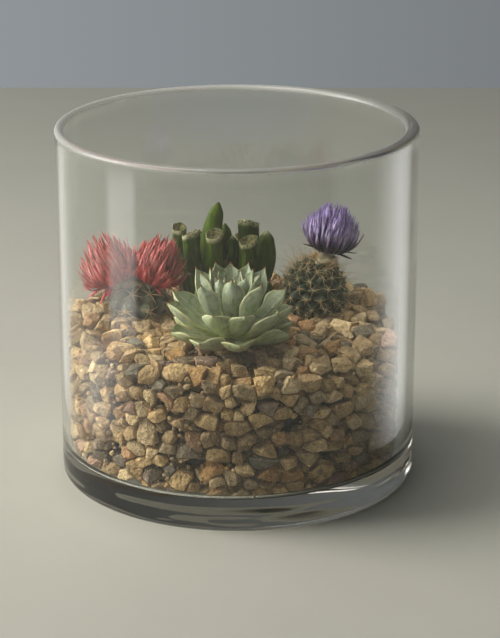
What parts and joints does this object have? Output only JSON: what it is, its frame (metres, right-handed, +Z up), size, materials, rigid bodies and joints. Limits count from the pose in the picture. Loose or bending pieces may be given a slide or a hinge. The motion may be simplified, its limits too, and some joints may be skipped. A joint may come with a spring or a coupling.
{
  "type": "glass plant terrarium",
  "caption": "Straight glass cylinder with a thick base, half filled with crushed stone and planted with small succulents and cacti that carry dried flower heads.",
  "frame": {"origin": "middle of the jar's flat underside", "axes": "+Z up along the jar, +X to the right and -Y to the front as the rosette faces the viewer"},
  "size_m": [0.15, 0.15, 0.15],
  "materials": {
    "glass": "clear, fire-polished rim",
    "gravel": "dry crushed stone, tan, ochre, cream, pinkish brown and grey chips",
    "potting_soil": "dark peat with pale grit",
    "rosette_leaf": "fleshy leaf with a pale bloom, yellow-green margin and pinkish point",
    "jade_leaf": "glossy green fleshy leaf with a tan rim",
    "pincushion_flesh": "dark green skin, pale areoles, tan spines",
    "chin_flesh": "grey-green skin, tan spines",
    "glue": "cream glue, satin",
    "red_bract": "dyed papery bracts",
    "purple_bract": "dyed papery bracts with pale silky highlights"
  },
  "bodies": {
    "root": {"glass_jar": "glass", "gravel_bed": "gravel", "root_ball_rosette": "potting_soil", "root_ball_jade": "potting_soil", "root_ball_pincushion": "potting_soil", "root_ball_chin": "potting_soil", "rosette_succulent": "rosette_leaf", "tube_leaf_jade": "jade_leaf", "pincushion_cactus": "pincushion_flesh", "chin_cactus": "chin_flesh", "glue_red": "glue", "glue_purple": "glue", "everlasting_red_left": "red_bract", "everlasting_red_right": "red_bract", "everlasting_purple": "purple_bract"}
  },
  "joints": []
}
